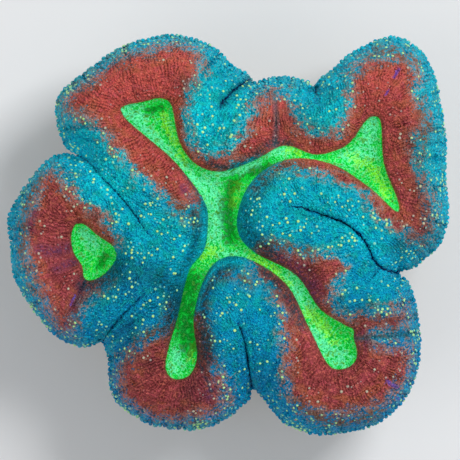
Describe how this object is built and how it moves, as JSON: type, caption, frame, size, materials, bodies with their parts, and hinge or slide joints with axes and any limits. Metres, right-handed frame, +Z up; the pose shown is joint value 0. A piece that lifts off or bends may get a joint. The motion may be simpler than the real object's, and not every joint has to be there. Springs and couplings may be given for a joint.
{
  "type": "brain coral",
  "caption": "Open brain coral: puffy fluted lobes folded round a forked green valley, on a bare stony foot cut off flat.",
  "frame": {"origin": "on the flat cut that the coral rests on, under the middle of its outline's box", "axes": "+Z up out of the cut; +X along the coral's longest side, towards the pair of lobes on the right; +Y towards the two tall lobes at the top"},
  "size_m": [0.0888, 0.0806, 0.04],
  "materials": {
    "flesh": "moist granular flesh, teal with brick-red bands, pale specks and a vivid green valley",
    "skeleton": "dry ribbed stony skeleton, pale cream"
  },
  "bodies": {
    "root": {"brain_coral": "flesh"}
  },
  "joints": []
}
